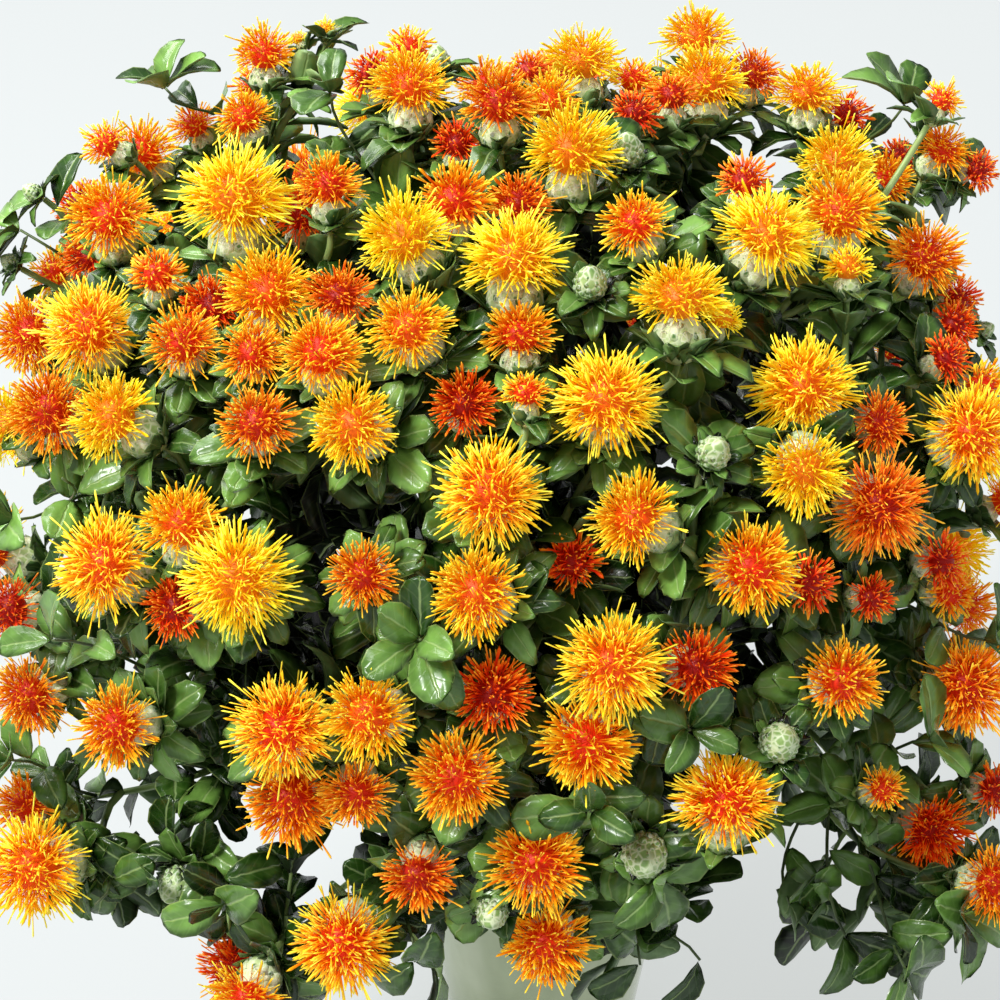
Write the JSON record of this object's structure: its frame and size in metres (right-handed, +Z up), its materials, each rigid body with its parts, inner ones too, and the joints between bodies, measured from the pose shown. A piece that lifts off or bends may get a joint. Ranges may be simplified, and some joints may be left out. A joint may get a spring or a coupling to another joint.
{
  "type": "potted plant",
  "caption": "Bushy potted safflower: a dense dome of spiky orange and yellow flower heads and dark leaves over a plain round glazed pot.",
  "frame": {"origin": "centre of the pot's flat underside", "axes": "+Z up along the pot's axis, -Y towards the side that the picture shows, +X to its right"},
  "size_m": [0.5071, 0.505, 0.5523],
  "materials": {
    "glaze": "glossy pale sage glaze",
    "soil": "dark loose potting soil, matte",
    "foliage": "leafy stems with orange and yellow flower heads"
  },
  "bodies": {
    "root": {"pot": "glaze", "soil": "soil", "plant_1": "foliage", "plant_2": "foliage", "plant_3": "foliage", "plant_4": "foliage", "plant_5": "foliage", "plant_6": "foliage", "plant_7": "foliage"}
  },
  "joints": []
}
